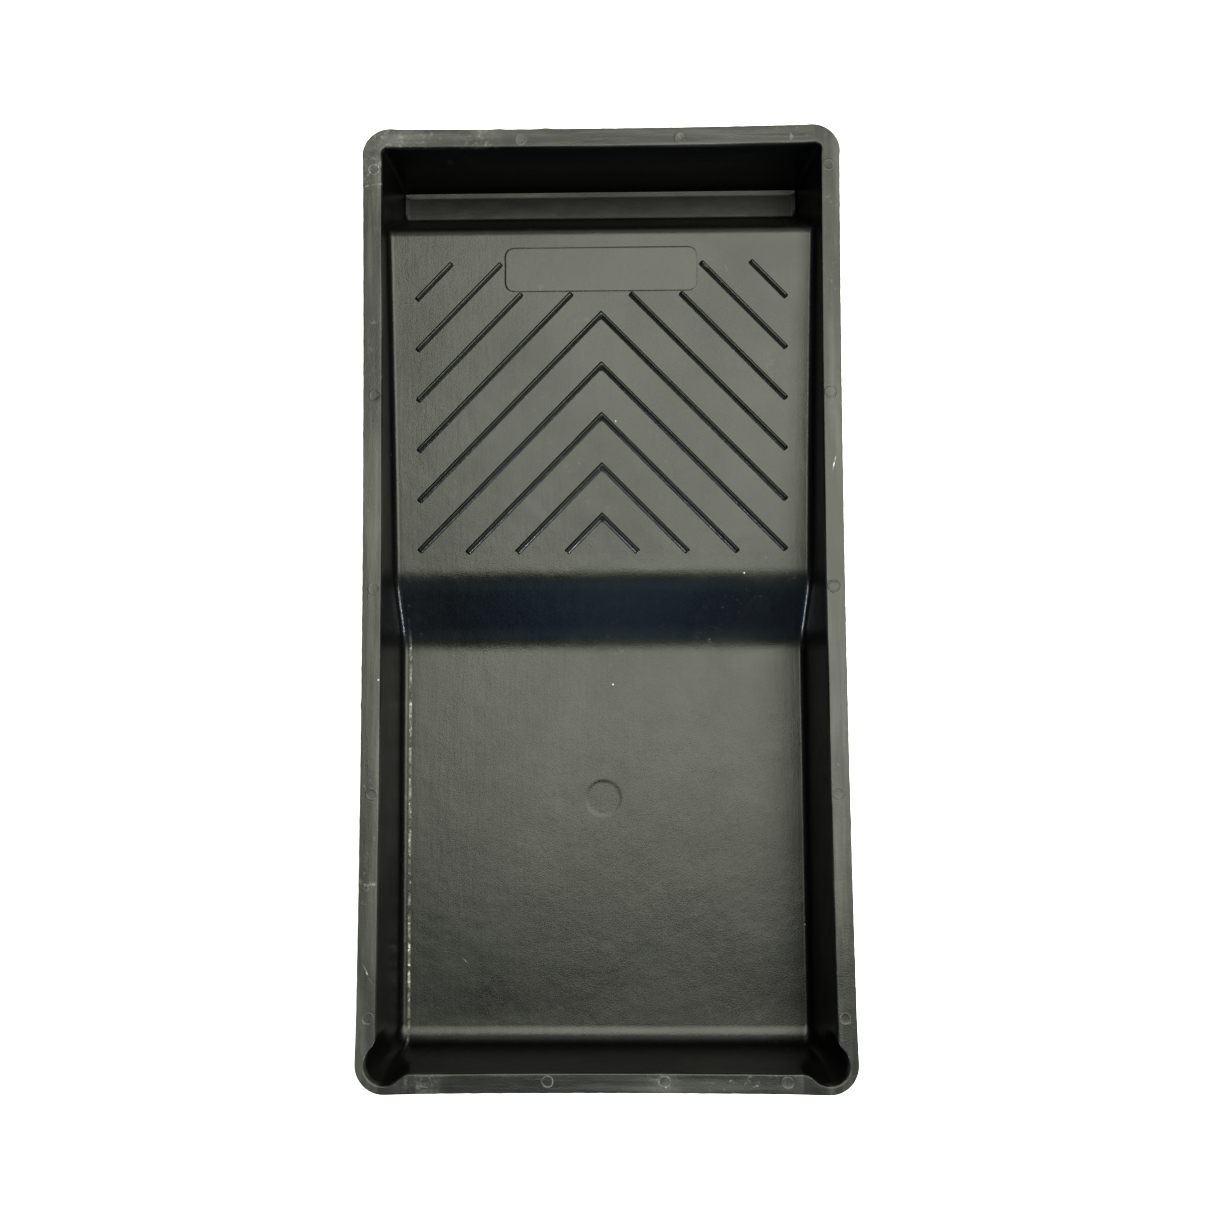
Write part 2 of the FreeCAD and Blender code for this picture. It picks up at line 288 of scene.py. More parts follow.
ROWS = bands(
    (FRONT_SEAM, SPOUT_SEAM_Y, 0.8),
    (SPOUT_SEAM_Y, GATE_Y - 8, 1.9),
    (GATE_Y - 8, GATE_Y + 8, 0.5),
    (GATE_Y + 8, SLOPE_LOW, 1.9),
    (SLOPE_LOW, SLOPE_HIGH, 0.7),
    (SLOPE_HIGH, CREST_SEAM, 1.5),
    (CREST_SEAM, CREST_Y + 3, 0.3),
    (CREST_Y + 3, FOOT_FRONT_Y - 1, 0.8),
    (FOOT_FRONT_Y - 1, FOOT_SEAM, 0.2),
    (FOOT_SEAM, RIM_CORNER_Y, 1.0),
    (RIM_CORNER_Y, REAR_SEAM, 0.5),
)
COLUMNS = bands(
    (-SEAM_X, -SPOUT_SEAM_X, 0.9),
    (-SPOUT_SEAM_X, -8.0, 1.65),
    (-8.0, 8.0, 0.5),
    (8.0, SPOUT_SEAM_X, 1.65),
    (SPOUT_SEAM_X, SEAM_X, 0.9),
)


def even(points, count):
    """count points evenly spaced along a polyline."""
    points = np.array(points)
    steps = np.linalg.norm(np.diff(points, axis=0), axis=1)
    run = np.concatenate([[0.0], np.cumsum(steps)])
    wanted = np.linspace(0.0, run[-1], count)
    return np.stack([np.interp(wanted, run, points[:, axis]) for axis in (0, 1)], axis=1)


def turn(centre, radius, start, end, steps=LINE_ARC_STEPS):
    """Points on an arc, angles in degrees."""
    angles = np.radians(np.linspace(start, end, steps + 1))
    return [(centre[0] + radius * math.cos(a), centre[1] + radius * math.sin(a)) for a in angles]


def side_bow(y):
    return SIDE_BOW * (1 - (y / HALF_LENGTH) ** 2)


def end_bow(x):
    return END_BOW * (1 - (x / HALF_WIDTH) ** 2)


def pocket_outline():
    """The inner edge of the rim round the right-hand spout, from the side to the front."""
    centre = np.array([HALF_WIDTH - CORNER_RADIUS, -(HALF_LENGTH - CORNER_RADIUS)])
    side_x = RIM_X - side_bow(SPOUT_SEAM_Y)
    front_y = -RIM_Y + end_bow(SPOUT_SEAM_X)
    # a blend arc touches the straight edge and the pocket's circle from outside
    reach = SPOUT_BLEND + SPOUT_RADIUS
    blend_x = side_x + SPOUT_BLEND
    rise = math.sqrt(reach ** 2 - (blend_x - centre[0]) ** 2)
    side_blend = (blend_x, centre[1] + rise)
    lean = math.degrees(math.atan2(rise, blend_x - centre[0]))
    blend_y = front_y - SPOUT_BLEND
    run = math.sqrt(reach ** 2 - (blend_y - centre[1]) ** 2)
    front_blend = (centre[0] - run, blend_y)
    tilt = math.degrees(math.atan2(blend_y - centre[1], -run))
    points = [(side_x, SPOUT_SEAM_Y)]
    points += turn(side_blend, SPOUT_BLEND, 180, 180 + lean)
    points += turn(centre, SPOUT_RADIUS, lean, tilt, SPOUT_ARC_STEPS)
    points += turn(front_blend, SPOUT_BLEND, tilt + 180, 90)
    points += [(SPOUT_SEAM_X, front_y)]
    return points


LOOP_NAMES = ("foot", "inner", "outer", "out", "hollow", "push", "grid")
PLAN_NAMES = ("foot", "inner", "outer", "out", "push")


def add_station(loop, foot, inner, outer, out, hollow, grid):
    for name, value in zip(LOOP_NAMES, (foot, inner, outer, out, hollow, (0.0, 0.0), grid)):
        loop[name].append(value)


def hollow_reach(radius):
    """How far a front or rear hollow reaches in from the wall's foot."""
    return radius * math.tan(math.radians(HOLLOW_HALF_TURN))


def add_front(loop):
    foot_y = FLOOR_CORNER_FRONT - FLOOR_CORNER_RADIUS - hollow_reach(FRONT_HOLLOW)
    for index, x in enumerate(COLUMNS):
        if x >= 0:
            bow = end_bow(x)
            add_station(loop, (x, foot_y), (x, -RIM_Y + bow), (x, -HALF_LENGTH + bow), (0.0, -1.0),
                        FRONT_HOLLOW, ("front", index))


def add_side(loop):
    for index, y in enumerate(ROWS):
        bow = side_bow(y)
        add_station(loop, (SIDE_FOOT_X, y), (RIM_X - bow, y), (HALF_WIDTH - bow, y), (1.0, 0.0),
                    SIDE_HOLLOW, ("side", index))


def add_rear(loop):
    foot_y = FLOOR_CORNER_REAR + FLOOR_CORNER_RADIUS + hollow_reach(REAR_HOLLOW)
    for index in reversed(range(len(COLUMNS))):
        x = COLUMNS[index]
        if x >= 0:
            bow = end_bow(x)
            add_station(loop, (x, foot_y), (x, RIM_Y - bow), (x, HALF_LENGTH - bow), (0.0, 1.0),
                        REAR_HOLLOW, ("rear", index))


def add_corner(loop, end):
    """The right-hand corner at the front (end -1) or the rear (end 1), drawn counter-clockwise."""
    side_reach = SIDE_FOOT_X - FLOOR_CORNER_X - FLOOR_CORNER_RADIUS
    at_side = (side_reach, SIDE_HOLLOW)
    if end < 0:
        before, after = (hollow_reach(FRONT_HOLLOW), FRONT_HOLLOW), at_side
        floor_corner = np.array([FLOOR_CORNER_X, FLOOR_CORNER_FRONT])
        radius, row = FLOOR_CORNER_RADIUS, 0
    else:
        before, after = at_side, (hollow_reach(REAR_HOLLOW), REAR_HOLLOW)
        inset = FLOOR_CORNER_RADIUS - REAR_CORNER_RADIUS
        floor_corner = np.array([FLOOR_CORNER_X, FLOOR_CORNER_REAR]) + inset
        radius, row = REAR_CORNER_RADIUS, len(ROWS) - 1
    inner_centre = np.array([RIM_X - INNER_CORNER_RADIUS, end * (RIM_Y - INNER_CORNER_RADIUS)])
    outer_centre = np.array([HALF_WIDTH - CORNER_RADIUS, end * (HALF_LENGTH - CORNER_RADIUS)])
    for step in range(CORNER_STEPS + 1):
        share = step / CORNER_STEPS
        angle = math.radians(90 * share if end > 0 else -90 + 90 * share)
        out = np.array([math.cos(angle), math.sin(angle)])
        reach = before[0] + (after[0] - before[0]) * smooth(share)
        hollow = before[1] + (after[1] - before[1]) * smooth(share)
        squared = np.sum(np.abs(out) ** REAR_SQUARENESS) ** (-1 / REAR_SQUARENESS) if end > 0 else 1.0
        foot = floor_corner + out * (radius + reach) * squared
        inner = inner_centre + out * INNER_CORNER_RADIUS
        outer = outer_centre + out * CORNER_RADIUS
        add_station(loop, foot, inner, outer, out, hollow, ("corner", (row, len(COLUMNS) - 1)))


def mirrored(half):
    """The whole loop: the right-hand half, then its mirror image back to the front centre."""
    whole = {name: list(values) for name, values in half.items()}
    last = len(COLUMNS) - 1
    for index in reversed(range(len(half["foot"]))):
        kind, place = half["grid"][index]
        if kind in ("front", "rear") and abs(half["foot"][index][0]) < 1e-9:
            continue
        for name in PLAN_NAMES:
            x, y = half[name][index]
            whole[name].append((-x, y))
        whole["hollow"].append(half["hollow"][index])
        if kind == "corner":
            whole["grid"].append((kind, (place[0], 0)))
        elif kind == "side":
            whole["grid"].append(("other_side", place))
        else:
            whole["grid"].append((kind, last - place))
    for name in PLAN_NAMES + ("hollow",):
        whole[name] = np.array(whole[name], float)
    return whole


def stations():
    """Points round the tray, counter-clockwise from the front centre.

    Each station has the wall's foot, the rim's inner and outer edge, the outward direction, the hollow's
    radius, the pocket's push, and where it meets the floor grid as (kind, index)."""
    half = {name: [] for name in LOOP_NAMES}
    add_front(half)
    add_corner(half, -1)
    add_side(half)
    add_corner(half, 1)
    add_rear(half)
    shape_spout(half)
    return mirrored(half)


def shape_spout(loop):
    """Pushes the rim's inner edge out to the pocket, and spaces both edges evenly round the corner."""
    inside = []
    for index, (x, y) in enumerate(loop["inner"]):
        if x >= SPOUT_SEAM_X - 1e-6 and y <= SPOUT_SEAM_Y + 1e-6:
            inside.append(index)
    pocket = even(list(reversed(pocket_outline())), len(inside))
    corner = (HALF_WIDTH - CORNER_RADIUS, -HALF_LENGTH + CORNER_RADIUS)
    first = (SPOUT_SEAM_X, -HALF_LENGTH + end_bow(SPOUT_SEAM_X))
    last = (HALF_WIDTH - side_bow(SPOUT_SEAM_Y), SPOUT_SEAM_Y)
    arc = turn(corner, CORNER_RADIUS, -90, 0, SPOUT_ARC_STEPS)
    outer = even([first] + arc + [last], len(inside))
    for place, index in enumerate(inside):
        plain = np.array(loop["inner"][index], float)
        loop["push"][index] = pocket[place] - plain
        loop["outer"][index] = outer[place]


def outward(ring):
    """Unit directions square to a closed ring of points, pointing out of the tray."""
    along = np.roll(ring, -1, axis=0) - np.roll(ring, 1, axis=0)
    along = along / np.linalg.norm(along, axis=1, keepdims=True)
    return np.stack([along[:, 1], -along[:, 0]], axis=1)


def with_z(plan, z):
    return np.column_stack([plan, np.broadcast_to(z, len(plan))])


def bend(start, corner, end, steps):
    """A rounded corner between two points or rings of points: steps + 1 of them, ends included."""
    placed = []
    for share in np.linspace(0.0, 1.0, steps + 1):
        placed.append(start * (1 - share) ** 2 + corner * 2 * share * (1 - share) + end * share ** 2)
    return placed


def between(start, end, steps):
    """Evenly spaced steps from one value, point or ring of points to another, without the ends."""
    return [start + (end - start) * share for share in np.linspace(0.0, 1.0, steps + 1)[1:-1]]


def wall_plan(loop, z):
    """Plan position of the inner wall at height z, one height for each station or one for all."""
    share = np.broadcast_to((z - FLOOR_TOP) / (HEIGHT - FLOOR_TOP), len(loop["hollow"]))[:, None]
    depth = np.broadcast_to((HEIGHT - z) / SPOUT_DEPTH, len(loop["hollow"]))
    bulge = np.clip(1 - depth, 0.0, 1.0) ** 1.4
    return loop["foot"] + (loop["inner"] - loop["foot"]) * share + loop["push"] * bulge[:, None]


def hollow_rings(loop, floor_z, radius, grow):
    """The hollow between wall and floor as rings, from the wall's tangent down to the floor's.

    The upper skin's hollow is dished round the trench, and on both skins it is shallower at the front."""
    run = ((loop["inner"] - loop["foot"]) * loop["out"]).sum(axis=1)
    lean = np.arctan2(run, HEIGHT - FLOOR_TOP)
    reach = radius * np.tan(math.pi / 4 - lean / 2)
    foot = wall_plan(loop, floor_z) + loop["out"] * grow
    dish = smooth((loop["foot"][:, 1] - FOOT_FRONT_Y - 0.5) / 1.5) * (grow == 0)
    front = np.clip((loop["hollow"] - SIDE_HOLLOW) / (FRONT_HOLLOW - SIDE_HOLLOW), 0.0, 1.0)
    rings = []
    for share in np.linspace(0.0, 1.0, HOLLOW_STEPS + 1):
        angle = -lean + (-math.pi / 2 + lean) * share
        along = -reach + radius * np.cos(angle)
        rise = (radius + radius * np.sin(angle)) * (1 - FRONT_SQUASH * front)
        dish_along, dish_rise = dish_profile(share, reach)
        along = along + (dish_along - along) * dish
        rise = rise + (dish_rise - rise) * dish
        rings.append(np.column_stack([foot + loop["out"] * along[:, None], floor_z + rise]))
    return rings


DISH_BEND = 0.45            # share of the steps spent on the tight bend
DISH_BEND_REACH = 0.35
DISH_TOP = 0.65
DISH_BORDER_TOP = 0.255
DISH_SLOPE = 0.3            # rise of the sloping border over its whole width


def dish_profile(share, reach):
    """The trench's hollow as (along, rise): a tight bend off the wall, then a shallow sloping border."""
    if share < DISH_BEND:
        part = share / DISH_BEND
        middle = 0.56 * part * (1 - part)
        rise = DISH_TOP * (1 - part) ** 2 + middle + DISH_BORDER_TOP * part ** 2
        return -DISH_BEND_REACH * part ** 2, rise
    part = (1 - share) / (1 - DISH_BEND)
    rise = DISH_SLOPE * (part - 0.15) if part > 0.3 else 0.5 * part ** 2
    return -reach + (reach - DISH_BEND_REACH) * part, rise


def edge_wander(edge):
    """How far the rim's outer edge strays: slightly nibbled, with a few burrs of flash on the bows."""
    x, y = edge[:, 0], edge[:, 1]
    on_side = np.abs(x) > HALF_WIDTH - 4
    on_end = np.abs(y) > HALF_LENGTH - 4
    bow = np.maximum(side_bow(y) * on_side, end_bow(x) * on_end)
    free = smooth((bow - 0.1) / 0.3)
    wander = -0.05 + 0.03 * np.sin(x * 0.9 + y * 0.7) + 0.02 * np.sin(x * 2.3 - y * 1.9 + 1.0)
    for burr_x, burr_y, reach, height in BURRS:
        wander = wander + height * np.exp(-((x - burr_x) ** 2 + (y - burr_y) ** 2) / reach ** 2)
    return free * wander


def rim_wave(edge):
    """How far the rim's top stands off flat."""
    x, y = edge[:, 0], edge[:, 1]
    return 0.02 * np.sin(x * 0.13 + y * 0.09) + 0.008 * np.sin(y * 0.41 - x * 0.37 + 0.8)


def wall_rings(wall, start_z, hollow):
    """Rings down a wall from start_z, then its hollow's. wall gives the wall's plan at given heights."""
    heights = between(start_z, hollow[0][:, 2], WALL_STEPS)
    return [np.column_stack([wall(z), z]) for z in heights] + hollow


def upper_rings(loop, outer, across, floor_z):
    """The upper skin from the rim's outer edge over the lip and down to the floor."""
    inner_edge = wall_plan(loop, HEIGHT)
    edge_top = outer - across * EDGE_ROUND
    rim = RIM_TOP + rim_wave(outer)
    rings = [with_z(outer, HEIGHT - WALL / 2)]
    rings += bend(with_z(outer, rim - EDGE_ROUND), with_z(outer, rim), with_z(edge_top, rim), 4)
    lip_top = inner_edge + across * LIP_ROUND
    rings += [with_z(plan, rim) for plan in between(edge_top, lip_top, FLAT_STEPS)]
    lip_low = with_z(wall_plan(loop, RIM_TOP - LIP_ROUND), RIM_TOP - LIP_ROUND)
    rings += bend(with_z(lip_top, rim), with_z(inner_edge, rim), lip_low, 5)
    rings.append(with_z(wall_plan(loop, HEIGHT - WALL), HEIGHT - WALL))
    hollow = hollow_rings(loop, floor_z, loop["hollow"], 0.0)
    return rings + wall_rings(lambda z: wall_plan(loop, z), HEIGHT - WALL, hollow)


def lower_rings(loop, outer, across, floor_z):
    """The lower skin from the rim's outer edge under the rim and down to the underside."""

    def outer_wall(z):
        plan = wall_plan(loop, z)
        return plan + outward(plan) * WALL

    under = HEIGHT - WALL
    edge_low = outer - across * EDGE_ROUND
    rings = [with_z(outer, HEIGHT - WALL / 2)]
    rings += bend(with_z(outer, under + EDGE_ROUND), with_z(outer, under), with_z(edge_low, under), 4)
    join = outer_wall(under)
    join_out = join + across * UNDER_ROUND
    join_low = with_z(outer_wall(under - UNDER_ROUND), under - UNDER_ROUND)
    rings += [with_z(plan, under) for plan in between(edge_low, join_out, FLAT_STEPS)]
    rings += bend(with_z(join_out, under), with_z(join, under), join_low, 6)
    hollow = hollow_rings(loop, floor_z, loop["hollow"] + WALL, WALL)
    return rings + wall_rings(outer_wall, under - UNDER_ROUND, hollow)


def skins():
    """The upper and the lower skin as (rings, grid) of points with the same layout, and the loop."""
    loop = stations()
    across = loop["outer"] - wall_plan(loop, HEIGHT)
    across = across / np.linalg.norm(across, axis=1, keepdims=True)
    outer = loop["outer"] + across * edge_wander(loop["outer"])[:, None]
    station_y = np.clip(loop["foot"][:, 1], FRONT_SEAM, REAR_SEAM)
    top = upper_rings(loop, outer, across, upper_z(station_y))
    bottom = lower_rings(loop, outer, across, lower_z(station_y))

    x, y = np.meshgrid(COLUMNS, ROWS)
    lift = waviness(x, y)
    top_grid = np.stack([x, y, upper_z(y) + lift + gate_mark(x, y)], axis=-1)
    bottom_grid = np.stack([x, y, lower_z(y) + np.maximum(lift, 0.0)], axis=-1)
    return (np.array(top), top_grid), (np.array(bottom), bottom_grid), loop


# -------- faces and regions

def grid_id(loop, station, rings):
    """Point number of the floor grid's edge that a station meets."""
    kind, place = loop["grid"][station]
    base = rings * len(loop["hollow"])
    rows, columns = len(ROWS), len(COLUMNS)
    if kind == "front":
        return base + place
    if kind == "rear":
        return base + (rows - 1) * columns + place
    if kind == "side":
        return base + place * columns + columns - 1
    if kind == "other_side":
        return base + place * columns
    return base + place[0] * columns + place[1]


def region_of(loop, station, ring, rim_rings):
    """The frame's node that a face between a station and the next belongs to."""
    following = (station + 1) % len(loop["hollow"])
    foot = (loop["foot"][station] + loop["foot"][following]) / 2
    side = "right" if foot[0] > 0 else "left"
    kinds = {loop["grid"][station][0], loop["grid"][following][0]}
    on_side = bool(kinds & {"side", "other_side"}) or kinds == {"corner"}
    x, y = abs(foot[0]), foot[1]
    if y < SPOUT_SEAM_Y and (on_side or x > SPOUT_SEAM_X):
        return "pour_spout_" + side
    if ring < rim_rings:
        if not on_side:
            return "rim_front" if y < 0 else "rim_rear"
        return ("rim_corner_" if y > RIM_CORNER_Y else "rim_") + side
    if not on_side:
        return "front_wall" if y < 0 else "rear_wall"
    if y < SLOPE_LOW:
        return "well_side_" + side
    if y < SLOPE_HIGH:
        return "slope_side_" + side
    return ("ramp_side_" if y < CREST_SEAM else "foot_side_") + side


def floor_region(y):
    if y < SLOPE_LOW:
        return "well_floor"
    if y < SLOPE_HIGH:
        return "well_slope"
    if y < CREST_SEAM:
        return "ramp_panel"
    return "foot_front_wall" if y < FOOT_SEAM else "foot_floor"


def region_faces(loop, rings, rim_rings):
    """The faces of one skin for each region, counter-clockwise from above, and which are on the rim."""
    count = len(loop["hollow"])
    columns = len(COLUMNS)
    faces = {}
    on_rim = set()
    for station in range(count):
        following = (station + 1) % count
        for ring in range(rings):
            name = region_of(loop, station, ring, rim_rings)
            a = ring * count + station
            b = ring * count + following
            if ring < rings - 1:
                face = [a, b, b + count, a + count]
            else:
                c = grid_id(loop, following, rings)
                d = grid_id(loop, station, rings)
                face = [a, b, c] if c == d else [a, b, c, d]
            faces.setdefault(name, []).append(face)
            if ring < rim_rings:
                on_rim.add(tuple(face))
    base = rings * count
    for row in range(len(ROWS) - 1):
        name = floor_region((ROWS[row] + ROWS[row + 1]) / 2)
        for column in range(columns - 1):
            a = base + row * columns + column
            faces.setdefault(name, []).append([a, a + 1, a + 1 + columns, a + columns])
    return faces, on_rim


def skin_normals(points, faces, sign):
    """Area-weighted normals, so that flat panels stay flat up to their rounded edges."""
    normals = np.zeros_like(points)
    quads = np.array([face if len(face) == 4 else face + face[-1:] for face in faces])
    corners = points[quads]
    cross = np.cross(corners[:, 2] - corners[:, 0], corners[:, 3] - corners[:, 1]) * sign
    for corner in range(4):
        np.add.at(normals, quads[:, corner], cross)
    length = np.linalg.norm(normals, axis=1, keepdims=True)
    return normals / np.maximum(length, 1e-12)


def closed_shell(name, faces, top, bottom, top_normals, bottom_normals, shared, on_rim):
    """One region as a closed mesh: its upper faces, its lower faces, and walls along its cuts."""
    used = sorted({point for face in faces for point in face})
    number = {point: index for index, point in enumerate(used)}
    below = {}
    vertices = [top[point] for point in used]
    for point in used:
        if point in shared:
            below[point] = number[point]
        else:
            below[point] = len(vertices)
            vertices.append(bottom[point])
    mesh_faces = []
    loop_normals = []
    paint = []
    edges = {}
    for face in faces:
        paint += [RIM_PAINT if tuple(face) in on_rim else PANEL_PAINT] * 2
        mesh_faces.append([number[point] for point in face])
        loop_normals += [top_normals[point] for point in face]
        lower_face = list(reversed(face))
        mesh_faces.append([below[point] for point in lower_face])
        loop_normals += [bottom_normals[point] for point in lower_face]
        for a, b in zip(face, face[1:] + face[:1]):
            edges[(a, b)] = edges.get((a, b), 0) + 1
    for a, b in edges:
        if (b, a) in edges or (a in shared and b in shared):
            continue
        seam = [number[b], number[a], below[a], below[b]]
        seam = [point for place, point in enumerate(seam) if point not in seam[:place]]
        corners = np.array([vertices[point] for point in seam])
        flat = np.cross(corners[1] - corners[0], corners[2] - corners[0])
        flat = flat / max(np.linalg.norm(flat), 1e-12)
        mesh_faces.append(seam)
        loop_normals += [flat] * len(seam)
        paint.append(paint[0])
    mesh = bpy.data.meshes.new(name)
    mesh.from_pydata([tuple(np.array(v) * MM) for v in vertices], [], mesh_faces)
    mesh.update()
    mesh.polygons.foreach_set("use_smooth", [True] * len(mesh.polygons))
    mesh.normals_split_custom_set([tuple(normal) for normal in loop_normals])
    if len(set(paint)) > 1:
        mesh.polygons.foreach_set("material_index", paint)
    return mesh, sorted(set(paint))


def place(mesh, name, node, *materials):
    """Links a mesh as the piece that stands for a node."""
    piece = bpy.data.objects.new(name, mesh)
    bpy.context.scene.collection.objects.link(piece)
    for material in materials:
        mesh.materials.append(material)
    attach(piece, "root")
    if node:
        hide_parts(node)
    return piece


def build_moulding(materials):
    (top_rings, top_grid), (bottom_rings, bottom_grid), loop = skins()
    rings, count = top_rings.shape[:2]
    top = np.concatenate([top_rings.reshape(-1, 3), top_grid.reshape(-1, 3)])
    bottom = np.concatenate([bottom_rings.reshape(-1, 3), bottom_grid.reshape(-1, 3)])
    rim_rings = int(np.argmax(np.isclose(top_rings[:, 0, 2], HEIGHT - WALL)))
    faces, on_rim = region_faces(loop, rings, rim_rings)
    every = [face for group in faces.values() for face in group]
    top_normals = skin_normals(top, every, 1.0)
    bottom_normals = skin_normals(bottom, every, -1.0)
    # the hollow runs tangent into the floor
    last_ring = (rings - 1) * count
    for station in range(count):
        met = grid_id(loop, station, rings)
        for normals in (top_normals, bottom_normals):
            normals[last_ring + station] = normals[met]
    edge = top_normals[:count] + bottom_normals[:count]
    edge = edge / np.linalg.norm(edge, axis=1, keepdims=True)
    top_normals[:count] = edge
    bottom_normals[:count] = edge
    shared = set(range(count))
    for name, group in faces.items():
        drawn = "rim_end" if name in ("rim_front", "rim_rear") else "rim_side"
        mesh, used = closed_shell(name, group, top, bottom, top_normals, bottom_normals, shared, on_rim)
        kinds = (materials[drawn], materials["panel"])
        place(mesh, "visual_" + name, name, *[kinds[kind] for kind in used])


# -------- ribs, badge and marks

def rounded_polygon(points, radius, steps):
    """A counter-clockwise outline with each corner rounded, as (points, outward directions)."""
    points = [np.array(point, float) for point in points]
    placed = []
    for index, corner in enumerate(points):
        before = points[index - 1] - corner
        after = points[(index + 1) % len(points)] - corner
        before = before / np.linalg.norm(before)
        after = after / np.linalg.norm(after)
        half = math.acos(max(-1.0, min(1.0, float(before @ after)))) / 2
        reach = radius / math.tan(half)
        start = corner + before * reach
        end = corner + after * reach
        placed += bend(start, corner, end, steps)
    outline = np.array(placed)
    return outline, outward(outline)


def raised(outline, directions, profile, height_at):
    """A closed raised shape: rings that follow (offset, height) steps, capped above and below."""
    vertices = []
    faces = []
    count = len(outline)
    for offset, height in profile:
        plan = outline + directions * offset
        z = height_at(plan[:, 0], plan[:, 1], height)
        vertices += [tuple(point) for point in np.column_stack([plan, z])]
    for ring in range(len(profile) - 1):
        for index in range(count):
            following = (index + 1) % count
            a = ring * count + index
            b = ring * count + following
            faces.append([a, b, b + count, a + count])
    faces.append(list(reversed(range(count))))
    last = (len(profile) - 1) * count
    faces.append([last + index for index in range(count)])
    return vertices, faces


def mesh_of(name, vertices, faces):
    mesh = bpy.data.meshes.new(name)
    mesh.from_pydata([tuple(np.array(v) * MM) for v in vertices], [], faces)
    mesh.update()
    mesh.polygons.foreach_set("use_smooth", [True] * len(mesh.polygons))
    mesh.set_sharp_from_angle(angle=math.radians(SHARP_ANGLE))
    return mesh


# the badge panel's edge as (distance out, height)
BADGE_PROFILE = ((0.4, -0.3), (0.4, -0.02), (0.2, 0.005), (0.06, 0.05), (-0.1, 0.1), (-0.3, 0.125),
                 (-0.6, 0.13))
# a rib's section as (distance in from its upper edge, height)
RIB_SECTION = ((-0.45, -0.02), (-0.2, 0.01), (-0.08, 0.12), (0.03, 0.36), (0.14, 0.58), (0.24, 0.68),
               (0.36, 0.7), (0.7, 0.53), (1.05, 0.37), (1.25, 0.27), (1.4, 0.15), (1.55, 0.06),
               (1.68, 0.015), (2.05, -0.02))
# a rib's end as (distance in, share of the height)
RIB_END = ((-0.3, 0.0), (-0.12, 0.1), (0.0, 0.4), (0.1, 0.75), (0.3, 0.96), (0.6, 1.0))


def rib_line(edge, inset):
    """A long line of a rib: its upper edge moved inwards, with the bend rounded more on the inside."""
    edge = [np.array(point, float) for point in edge]
    along = [(b - a) / np.linalg.norm(b - a) for a, b in zip(edge, edge[1:])]
    inward = [np.array([d[1], -d[0]]) for d in along]
    start = edge[0] + inward[0] * inset
    end = edge[-1] + inward[-1] * inset
    head = [start + along[0] * reach for reach, _ in RIB_END]
    tail = [end - along[-1] * reach for reach, _ in reversed(RIB_END)]
    if len(edge) == 2:
        steps = max(2, round(np.linalg.norm(end - start) / 4))
        body = between(head[-1], tail[0], steps)
        return np.array(head + body + tail), len(body)
    peak = edge[1] + (inward[0] + inward[1]) * inset
    radius = 0.3 + 1.1 * min(max(inset / RIB_WIDTH, 0.0), 1.0)
    before = peak - along[0] * radius
    after = peak + along[1] * radius
    steps = max(2, round(np.linalg.norm(edge[1] - edge[0]) / 4))
    body = between(head[-1], before, steps)
    body += bend(before, peak, after, 8)
    body += between(after, tail[0], steps)
    return np.array(head + body + tail), len(body)


def rib_mesh(name, edge):
    """A rib swept along its upper edge, closed underneath just below the ramp's surface."""
    upper = []
    lower = []
    for inset, height in RIB_SECTION:
        line, body = rib_line(edge, inset)
        shares = np.array([share for _, share in RIB_END] + [1.0] * body
                          + [share for _, share in reversed(RIB_END)])
        ground = ramp_z(line[:, 1]) + waviness(line[:, 0], line[:, 1])
        lift = height * shares if height > 0 else np.full(len(line), height)
        upper.append(np.column_stack([line, ground + lift - 0.02 * (1 - shares)]))
        lower.append(np.column_stack([line, ground - 0.35]))
    return slab_mesh(name, np.array(upper), np.array(lower))


def slab_mesh(name, upper, lower):
    """A closed mesh between two grids of points with the same layout."""
    rows, columns = upper.shape[:2]
    below = rows * columns
    faces = []
    for row in range(rows - 1):
        for column in range(columns - 1):
            a = row * columns + column
            faces.append([a, a + columns, a + columns + 1, a + 1])
            faces.append([below + a, below + a + 1, below + a + columns + 1, below + a + columns])
    border = [(0, column) for column in range(columns)]
    border += [(row, columns - 1) for row in range(1, rows)]
    border += [(rows - 1, column) for column in reversed(range(columns - 1))]
    border += [(row, 0) for row in reversed(range(1, rows - 1))]
    numbers = [row * columns + column for row, column in border]
    for a, b in zip(numbers, numbers[1:] + numbers[:1]):
        faces.append([a, b, below + b, below + a])
    vertices = list(upper.reshape(-1, 3)) + list(lower.reshape(-1, 3))
    return mesh_of(name, vertices, faces)


def build_ribs(material):
    for index in range(CHEVRONS):
        apex = FIRST_APEX_Y - index * RIB_PITCH
        reach = min(RIB_END_X, apex - RIB_LOW_Y)
        node = "chevron_rib_%d" % (index + 1)
        edge = [(-reach, apex - reach), (0, apex), (reach, apex - reach)]
        place(rib_mesh(node, edge), "visual_" + node, node, material)
    for index, top_y in enumerate(ARM_TOP_Y):
        apex = FIRST_APEX_Y + (index + 1) * RIB_PITCH
        inner = (apex - top_y, top_y)
        outer = (RIB_END_X, apex - RIB_END_X)
        node = "side_rib_right_%d" % (index + 1)
        place(rib_mesh(node, [inner, outer]), "visual_" + node, node, material)
        node = "side_rib_left_%d" % (index + 1)
        edge = [(-outer[0], outer[1]), (-inner[0], inner[1])]
        place(rib_mesh(node, edge), "visual_" + node, node, material)


def pin_profile(crest):
    """A pin mark's section from outside in, as (distance out from its circle, height)."""
    return ((0.3, -0.1), (0.26, -0.01), (0.12, crest * 0.7), (0.0, crest), (-0.14, crest),
            (-0.26, crest * 0.5), (-0.4, 0.008), (-1.2, 0.006))


